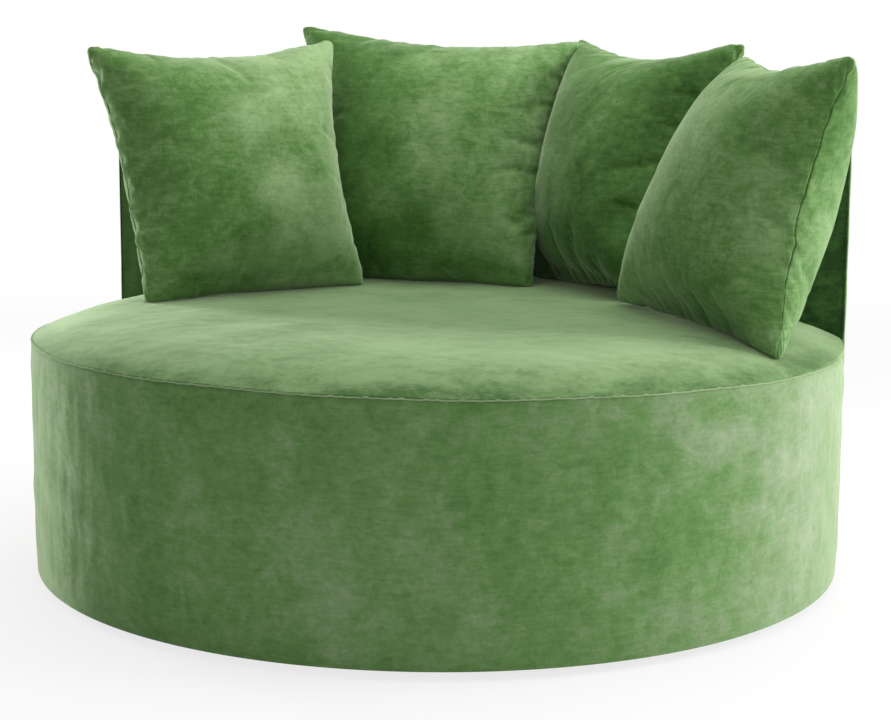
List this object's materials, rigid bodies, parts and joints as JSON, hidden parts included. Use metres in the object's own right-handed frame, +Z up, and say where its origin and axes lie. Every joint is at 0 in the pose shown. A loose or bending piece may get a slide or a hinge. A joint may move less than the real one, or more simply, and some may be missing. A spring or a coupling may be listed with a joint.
{
  "type": "swivel armchair",
  "caption": "Round swivel armchair: a drum-shaped velvet seat with a low curved back round its rear, and loose scatter cushions leaning on the back.",
  "frame": {"origin": "on the floor, on the swivel axis", "axes": "+Z up; the chair faces -Y; +X to the right as seen from the front"},
  "size_m": [1.3117, 1.3069, 0.885],
  "materials": {
    "velvet": "cotton velvet, brushed pile with a pale sheen",
    "wadding": "soft polyester fibre",
    "foam": "cut polyurethane foam",
    "plywood": "raw birch plywood",
    "timber": "planed pine",
    "bent_board": "hardboard bent round the frame",
    "steel": "zinc plated",
    "nylon": "moulded",
    "dust_cloth": "black non-woven cloth",
    "webbing": "woven elastic webbing",
    "zip": "dyed nylon coil zip"
  },
  "bodies": {
    "plinth": {"floor_glides": "nylon", "glide_screws": "steel", "plinth_disc": "plywood", "lower_race": "steel", "lower_race_screws": "steel", "bearing_balls": "steel", "ball_cage": "nylon", "pivot_bolt": "steel", "pivot_washer": "steel", "pivot_nut": "steel"},
    "chair": {"upper_race": "steel", "upper_race_screws": "steel", "swivel_board": "plywood", "swivel_board_screws": "steel", "long_bearer_rails": "timber", "cross_bearer_rails": "timber", "rail_screws": "steel", "base_ring": "plywood", "base_posts": "timber", "seat_ring": "plywood", "front_board": "bent_board", "front_wadding": "wadding", "front_cover": "velvet", "dust_cover": "dust_cloth", "long_webbing": "webbing", "cross_webbing": "webbing", "seat_foam": "foam", "seat_wadding": "wadding", "seat_cover": "velvet", "back_bottom_rail": "plywood", "back_top_rail": "plywood", "back_uprights": "timber", "back_end_posts": "timber", "back_inner_board": "bent_board", "back_outer_board": "bent_board", "back_inner_foam": "foam", "back_top_foam": "foam", "back_outer_wadding": "wadding", "back_inside_cover": "velvet", "back_outside_cover": "velvet", "back_end_pads": "foam", "back_end_covers": "velvet", "back_bolts": "steel", "back_nuts": "steel"},
    "left_cushion": {"left_cushion_cover": "velvet", "left_cushion_pad": "wadding", "left_cushion_zip": "zip"},
    "mid_left_cushion": {"mid_left_cushion_cover": "velvet", "mid_left_cushion_pad": "wadding", "mid_left_cushion_zip": "zip"},
    "mid_right_cushion": {"mid_right_cushion_cover": "velvet", "mid_right_cushion_pad": "wadding", "mid_right_cushion_zip": "zip"},
    "right_cushion": {"right_cushion_cover": "velvet", "right_cushion_pad": "wadding", "right_cushion_zip": "zip"}
  },
  "joints": [
    {"name": "seat_swivel", "type": "hinge", "parent": "plinth", "child": "chair", "pos_m": [0, 0, 0], "axis": [0, 0, 1], "continuous": true},
    {"name": "left_cushion_lift", "type": "slide", "parent": "chair", "child": "left_cushion", "axis": [-0.0686, 0.029, 0.9972], "range_m": [0, 0.5]},
    {"name": "mid_left_cushion_lift", "type": "slide", "parent": "chair", "child": "mid_left_cushion", "axis": [0.0212, 0.0714, 0.9972], "range_m": [0, 0.5]},
    {"name": "mid_right_cushion_lift", "type": "slide", "parent": "chair", "child": "mid_right_cushion", "axis": [0.1378, 0.0345, 0.9899], "range_m": [0, 0.5]},
    {"name": "right_cushion_lift", "type": "slide", "parent": "chair", "child": "right_cushion", "axis": [0.0771, 0.0114, 0.997], "range_m": [0, 0.5]}
  ]
}
